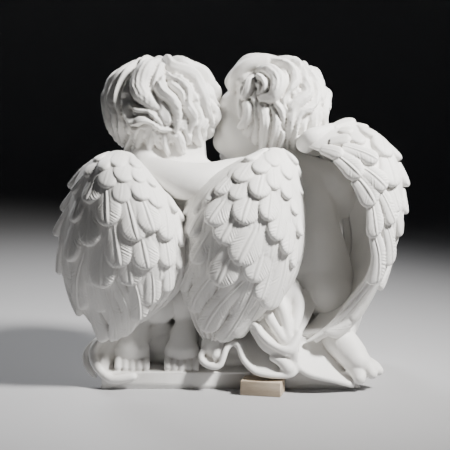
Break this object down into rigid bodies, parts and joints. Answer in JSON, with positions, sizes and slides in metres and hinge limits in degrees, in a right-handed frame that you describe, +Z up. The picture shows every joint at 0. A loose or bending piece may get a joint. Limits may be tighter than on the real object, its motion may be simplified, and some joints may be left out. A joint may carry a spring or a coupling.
{
  "type": "winged cherub pair figurine",
  "caption": "White cast figurine of kneeling winged cherubs embracing on a draped slab plinth, its rear overhang propped by a small wooden block.",
  "frame": {"origin": "centre of the plinth's flat underside", "axes": "+X to the right and -Y towards the viewer as seen from behind the figures, where the wings are, +Z up; the faces look towards +Y"},
  "size_m": [0.3072, 0.1781, 0.2829],
  "materials": {
    "white_plaster": "matt, unglazed white plaster with small casting pits",
    "raw_wood": "raw sawn softwood"
  },
  "bodies": {
    "root": {"angel_pair": "white_plaster", "wooden_prop_block": "raw_wood"}
  },
  "joints": []
}
